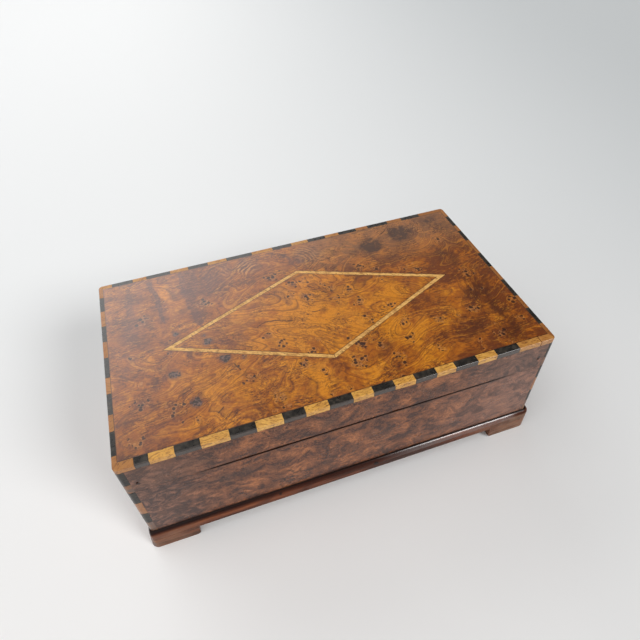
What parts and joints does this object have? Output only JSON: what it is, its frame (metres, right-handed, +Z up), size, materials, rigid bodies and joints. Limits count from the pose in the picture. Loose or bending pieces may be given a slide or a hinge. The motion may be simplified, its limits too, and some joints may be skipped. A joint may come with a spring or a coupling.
{
  "type": "marquetry box",
  "caption": "Rectangular burr-veneered wooden box on a plinth with bracket feet, with a hinged lid that has a lozenge of stringing and edges of alternating light and dark blocks.",
  "frame": {"origin": "middle of the footprint, on the surface that the feet stand on", "axes": "+Z up, +X along the box to the right as seen from the front, +Y to the back, where the hinges are"},
  "size_m": [0.2872, 0.161, 0.1005],
  "materials": {
    "burr_top": "polished burr veneer, golden brown",
    "burr_sides": "satin burr veneer, red-brown",
    "boxwood": "polished pale yellow wood",
    "ebony": "polished near-black wood",
    "plinth_wood": "polished red-brown wood",
    "carcass_wood": "bare planed wood",
    "brass": "dull old brass",
    "iron": "dark nail"
  },
  "bodies": {
    "base": {"base_back_veneer": "burr_sides", "base_back_wall": "carcass_wood", "base_corner_boxwood_blocks": "boxwood", "base_corner_ebony_blocks": "ebony", "base_front_veneer": "burr_sides", "base_front_wall": "carcass_wood", "base_hinge_leaf_left": "brass", "base_hinge_leaf_right": "brass", "base_hinge_screws": "brass", "base_left_veneer": "burr_sides", "base_left_wall": "carcass_wood", "base_right_veneer": "burr_sides", "base_right_wall": "carcass_wood", "bottom_board": "carcass_wood", "foot_back_left_back_bracket": "plinth_wood", "foot_back_left_left_bracket": "plinth_wood", "foot_back_right_back_bracket": "plinth_wood", "foot_back_right_right_bracket": "plinth_wood", "foot_front_left_front_bracket": "plinth_wood", "foot_front_left_left_bracket": "plinth_wood", "foot_front_right_front_bracket": "plinth_wood", "foot_front_right_right_bracket": "plinth_wood", "foot_glue_blocks": "carcass_wood", "hinge_pin_left": "brass", "hinge_pin_right": "brass", "plinth_back": "plinth_wood", "plinth_front": "plinth_wood", "plinth_left": "plinth_wood", "plinth_right": "plinth_wood"},
    "lid": {"lid_back_edging_boxwood": "boxwood", "lid_back_edging_ebony": "ebony", "lid_back_veneer": "burr_sides", "lid_back_wall": "carcass_wood", "lid_corner_boxwood_blocks": "boxwood", "lid_corner_ebony_blocks": "ebony", "lid_front_edging_boxwood": "boxwood", "lid_front_edging_ebony": "ebony", "lid_front_veneer": "burr_sides", "lid_front_wall": "carcass_wood", "lid_hinge_leaf_left": "brass", "lid_hinge_leaf_right": "brass", "lid_hinge_screws": "brass", "lid_left_edging_boxwood": "boxwood", "lid_left_edging_ebony": "ebony", "lid_left_veneer": "burr_sides", "lid_left_wall": "carcass_wood", "lid_lozenge_veneer": "burr_top", "lid_nails": "iron", "lid_right_edging_boxwood": "boxwood", "lid_right_edging_ebony": "ebony", "lid_right_veneer": "burr_sides", "lid_right_wall": "carcass_wood", "lid_stringing_back_left": "boxwood", "lid_stringing_back_right": "boxwood", "lid_stringing_front_left": "boxwood", "lid_stringing_front_right": "boxwood", "lid_top_board": "carcass_wood", "lid_top_veneer": "burr_top"}
  },
  "joints": [
    {"name": "lid_hinge", "type": "hinge", "parent": "base", "child": "lid", "pos_m": [0, 0.0754, 0.0731], "axis": [-1, 0, 0], "range_deg": [0, 100]}
  ]
}
